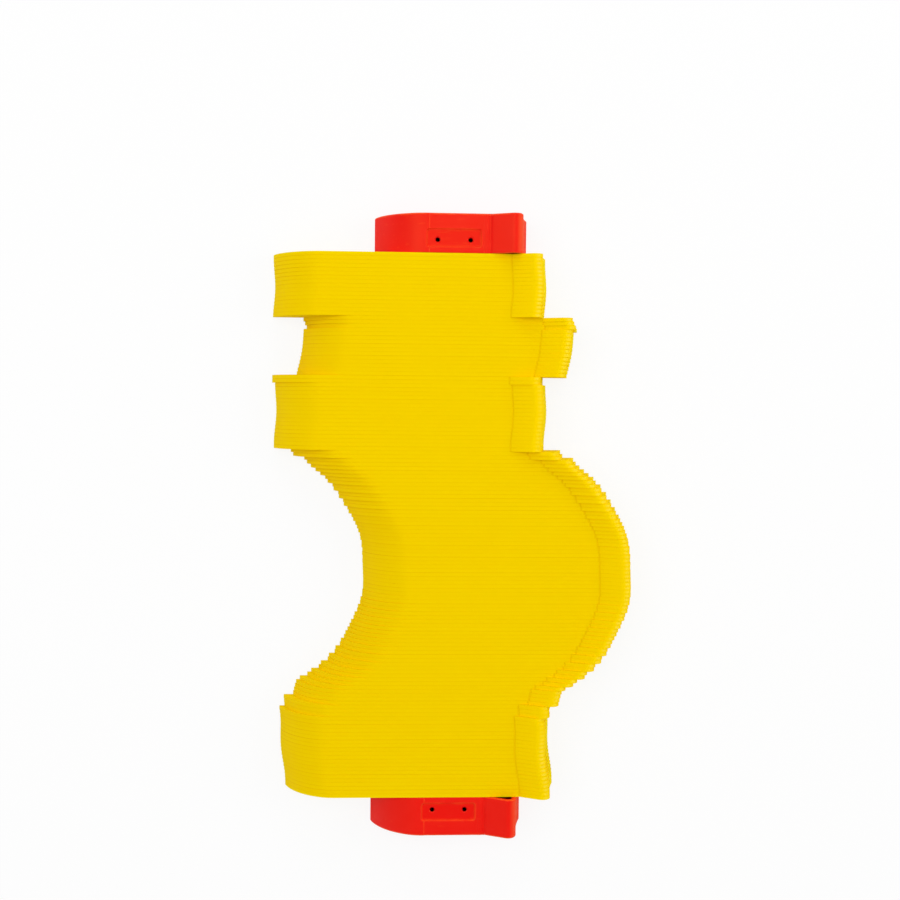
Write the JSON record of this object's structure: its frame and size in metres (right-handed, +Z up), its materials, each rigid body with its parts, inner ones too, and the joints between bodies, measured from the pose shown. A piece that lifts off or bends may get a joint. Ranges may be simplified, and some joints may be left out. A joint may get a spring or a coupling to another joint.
{
  "type": "contour gauge",
  "caption": "Contour gauge: a stack of thin plastic fingers that slide on a flat steel bar between two end caps and keep the outline they are pressed against.",
  "frame": {"origin": "on the surface that the gauge lies on, below the middle of the core bar and of the finger stack", "axes": "+X along the fingers from nose to flared end, +Y along the stack, +Z up out of the gauge's front"},
  "size_m": [0.1366, 0.2292, 0.0212],
  "materials": {
    "finger_plastic": "satin yellow moulded plastic",
    "cap_plastic": "satin red-orange moulded plastic",
    "bar_steel": "cold-drawn flat strip",
    "pin_black": "blackened steel"
  },
  "bodies": {
    "frame": {"core_bar": "bar_steel", "end_cap_upper": "cap_plastic", "end_cap_lower": "cap_plastic", "pins_upper": "pin_black", "pins_lower": "pin_black"},
    "fingers_01": {"fingers_01": "finger_plastic"},
    "fingers_02": {"fingers_02": "finger_plastic"},
    "fingers_03": {"fingers_03": "finger_plastic"},
    "fingers_04": {"fingers_04": "finger_plastic"},
    "fingers_05": {"fingers_05": "finger_plastic"},
    "fingers_06": {"fingers_06": "finger_plastic"},
    "fingers_07": {"fingers_07": "finger_plastic"},
    "fingers_08": {"fingers_08": "finger_plastic"},
    "fingers_09": {"fingers_09": "finger_plastic"},
    "fingers_10": {"fingers_10": "finger_plastic"},
    "fingers_11": {"fingers_11": "finger_plastic"},
    "fingers_12": {"fingers_12": "finger_plastic"},
    "fingers_13": {"fingers_13": "finger_plastic"},
    "fingers_14": {"fingers_14": "finger_plastic"},
    "fingers_15": {"fingers_15": "finger_plastic"},
    "fingers_16": {"fingers_16": "finger_plastic"},
    "fingers_17": {"fingers_17": "finger_plastic"},
    "fingers_18": {"fingers_18": "finger_plastic"},
    "fingers_19": {"fingers_19": "finger_plastic"},
    "fingers_20": {"fingers_20": "finger_plastic"},
    "fingers_21": {"fingers_21": "finger_plastic"},
    "fingers_22": {"fingers_22": "finger_plastic"},
    "fingers_23": {"fingers_23": "finger_plastic"},
    "fingers_24": {"fingers_24": "finger_plastic"},
    "fingers_25": {"fingers_25": "finger_plastic"},
    "fingers_26": {"fingers_26": "finger_plastic"},
    "fingers_27": {"fingers_27": "finger_plastic"},
    "fingers_28": {"fingers_28": "finger_plastic"},
    "fingers_29": {"fingers_29": "finger_plastic"},
    "fingers_30": {"fingers_30": "finger_plastic"},
    "fingers_31": {"fingers_31": "finger_plastic"},
    "fingers_32": {"fingers_32": "finger_plastic"},
    "fingers_33": {"fingers_33": "finger_plastic"},
    "fingers_34": {"fingers_34": "finger_plastic"},
    "fingers_35": {"fingers_35": "finger_plastic"},
    "fingers_36": {"fingers_36": "finger_plastic"},
    "fingers_37": {"fingers_37": "finger_plastic"},
    "fingers_38": {"fingers_38": "finger_plastic"},
    "fingers_39": {"fingers_39": "finger_plastic"},
    "fingers_40": {"fingers_40": "finger_plastic"},
    "fingers_41": {"fingers_41": "finger_plastic"},
    "fingers_42": {"fingers_42": "finger_plastic"},
    "fingers_43": {"fingers_43": "finger_plastic"},
    "fingers_44": {"fingers_44": "finger_plastic"},
    "fingers_45": {"fingers_45": "finger_plastic"},
    "fingers_46": {"fingers_46": "finger_plastic"}
  },
  "joints": [
    {"name": "finger_slide_01", "type": "slide", "parent": "frame", "child": "fingers_01", "axis": [1, 0, 0], "range_m": [-0.00734, 0.03757]},
    {"name": "finger_slide_02", "type": "slide", "parent": "frame", "child": "fingers_02", "axis": [1, 0, 0], "range_m": [-0.00752, 0.03723]},
    {"name": "finger_slide_03", "type": "slide", "parent": "frame", "child": "fingers_03", "axis": [1, 0, 0], "range_m": [-0.00787, 0.03705]},
    {"name": "finger_slide_04", "type": "slide", "parent": "frame", "child": "fingers_04", "axis": [1, 0, 0], "range_m": [-0.00769, 0.03708]},
    {"name": "finger_slide_05", "type": "slide", "parent": "frame", "child": "fingers_05", "axis": [1, 0, 0], "range_m": [-0.00727, 0.03744]},
    {"name": "finger_slide_06", "type": "slide", "parent": "frame", "child": "fingers_06", "axis": [1, 0, 0], "range_m": [-0.00719, 0.02586]},
    {"name": "finger_slide_07", "type": "slide", "parent": "frame", "child": "fingers_07", "axis": [1, 0, 0], "range_m": [-0.0185, 0.02522]},
    {"name": "finger_slide_08", "type": "slide", "parent": "frame", "child": "fingers_08", "axis": [1, 0, 0], "range_m": [-0.01819, 0.02657]},
    {"name": "finger_slide_09", "type": "slide", "parent": "frame", "child": "fingers_09", "axis": [1, 0, 0], "range_m": [-0.01747, 0.02699]},
    {"name": "finger_slide_10", "type": "slide", "parent": "frame", "child": "fingers_10", "axis": [1, 0, 0], "range_m": [-0.01645, 0.02784]},
    {"name": "finger_slide_11", "type": "slide", "parent": "frame", "child": "fingers_11", "axis": [1, 0, 0], "range_m": [-0.00698, 0.02886]},
    {"name": "finger_slide_12", "type": "slide", "parent": "frame", "child": "fingers_12", "axis": [1, 0, 0], "range_m": [-0.00804, 0.0368]},
    {"name": "finger_slide_13", "type": "slide", "parent": "frame", "child": "fingers_13", "axis": [1, 0, 0], "range_m": [-0.0083, 0.03649]},
    {"name": "finger_slide_14", "type": "slide", "parent": "frame", "child": "fingers_14", "axis": [1, 0, 0], "range_m": [-0.00851, 0.03643]},
    {"name": "finger_slide_15", "type": "slide", "parent": "frame", "child": "fingers_15", "axis": [1, 0, 0], "range_m": [-0.00812, 0.03658]},
    {"name": "finger_slide_16", "type": "slide", "parent": "frame", "child": "fingers_16", "axis": [1, 0, 0], "range_m": [-0.00773, 0.03703]},
    {"name": "finger_slide_17", "type": "slide", "parent": "frame", "child": "fingers_17", "axis": [1, 0, 0], "range_m": [-0.00768, 0.03093]},
    {"name": "finger_slide_18", "type": "slide", "parent": "frame", "child": "fingers_18", "axis": [1, 0, 0], "range_m": [-0.01494, 0.02488]},
    {"name": "finger_slide_19", "type": "slide", "parent": "frame", "child": "fingers_19", "axis": [1, 0, 0], "range_m": [-0.02158, 0.01988]},
    {"name": "finger_slide_20", "type": "slide", "parent": "frame", "child": "fingers_20", "axis": [1, 0, 0], "range_m": [-0.02697, 0.01523]},
    {"name": "finger_slide_21", "type": "slide", "parent": "frame", "child": "fingers_21", "axis": [1, 0, 0], "range_m": [-0.03017, 0.01283]},
    {"name": "finger_slide_22", "type": "slide", "parent": "frame", "child": "fingers_22", "axis": [1, 0, 0], "range_m": [-0.03376, 0.00957]},
    {"name": "finger_slide_23", "type": "slide", "parent": "frame", "child": "fingers_23", "axis": [1, 0, 0], "range_m": [-0.03587, 0.00738]},
    {"name": "finger_slide_24", "type": "slide", "parent": "frame", "child": "fingers_24", "axis": [1, 0, 0], "range_m": [-0.03842, 0.00541]},
    {"name": "finger_slide_25", "type": "slide", "parent": "frame", "child": "fingers_25", "axis": [1, 0, 0], "range_m": [-0.0402, 0.00413]},
    {"name": "finger_slide_26", "type": "slide", "parent": "frame", "child": "fingers_26", "axis": [1, 0, 0], "range_m": [-0.04085, 0.00384]},
    {"name": "finger_slide_27", "type": "slide", "parent": "frame", "child": "fingers_27", "axis": [1, 0, 0], "range_m": [-0.04122, 0.00367]},
    {"name": "finger_slide_28", "type": "slide", "parent": "frame", "child": "fingers_28", "axis": [1, 0, 0], "range_m": [-0.04137, 0.00349]},
    {"name": "finger_slide_29", "type": "slide", "parent": "frame", "child": "fingers_29", "axis": [1, 0, 0], "range_m": [-0.04152, 0.00344]},
    {"name": "finger_slide_30", "type": "slide", "parent": "frame", "child": "fingers_30", "axis": [1, 0, 0], "range_m": [-0.04062, 0.00373]},
    {"name": "finger_slide_31", "type": "slide", "parent": "frame", "child": "fingers_31", "axis": [1, 0, 0], "range_m": [-0.03933, 0.00456]},
    {"name": "finger_slide_32", "type": "slide", "parent": "frame", "child": "fingers_32", "axis": [1, 0, 0], "range_m": [-0.03707, 0.0066]},
    {"name": "finger_slide_33", "type": "slide", "parent": "frame", "child": "fingers_33", "axis": [1, 0, 0], "range_m": [-0.03497, 0.00847]},
    {"name": "finger_slide_34", "type": "slide", "parent": "frame", "child": "fingers_34", "axis": [1, 0, 0], "range_m": [-0.0329, 0.01056]},
    {"name": "finger_slide_35", "type": "slide", "parent": "frame", "child": "fingers_35", "axis": [1, 0, 0], "range_m": [-0.0288, 0.01372]},
    {"name": "finger_slide_36", "type": "slide", "parent": "frame", "child": "fingers_36", "axis": [1, 0, 0], "range_m": [-0.02496, 0.01665]},
    {"name": "finger_slide_37", "type": "slide", "parent": "frame", "child": "fingers_37", "axis": [1, 0, 0], "range_m": [-0.01786, 0.02284]},
    {"name": "finger_slide_38", "type": "slide", "parent": "frame", "child": "fingers_38", "axis": [1, 0, 0], "range_m": [-0.01568, 0.02853]},
    {"name": "finger_slide_39", "type": "slide", "parent": "frame", "child": "fingers_39", "axis": [1, 0, 0], "range_m": [-0.01183, 0.02963]},
    {"name": "finger_slide_40", "type": "slide", "parent": "frame", "child": "fingers_40", "axis": [1, 0, 0], "range_m": [-0.01023, 0.03289]},
    {"name": "finger_slide_41", "type": "slide", "parent": "frame", "child": "fingers_41", "axis": [1, 0, 0], "range_m": [-0.01057, 0.03429]},
    {"name": "finger_slide_42", "type": "slide", "parent": "frame", "child": "fingers_42", "axis": [1, 0, 0], "range_m": [-0.01067, 0.03429]},
    {"name": "finger_slide_43", "type": "slide", "parent": "frame", "child": "fingers_43", "axis": [1, 0, 0], "range_m": [-0.01067, 0.03419]},
    {"name": "finger_slide_44", "type": "slide", "parent": "frame", "child": "fingers_44", "axis": [1, 0, 0], "range_m": [-0.01095, 0.03362]},
    {"name": "finger_slide_45", "type": "slide", "parent": "frame", "child": "fingers_45", "axis": [1, 0, 0], "range_m": [-0.01162, 0.03289]},
    {"name": "finger_slide_46", "type": "slide", "parent": "frame", "child": "fingers_46", "axis": [1, 0, 0], "range_m": [-0.0123, 0.03242]}
  ]
}
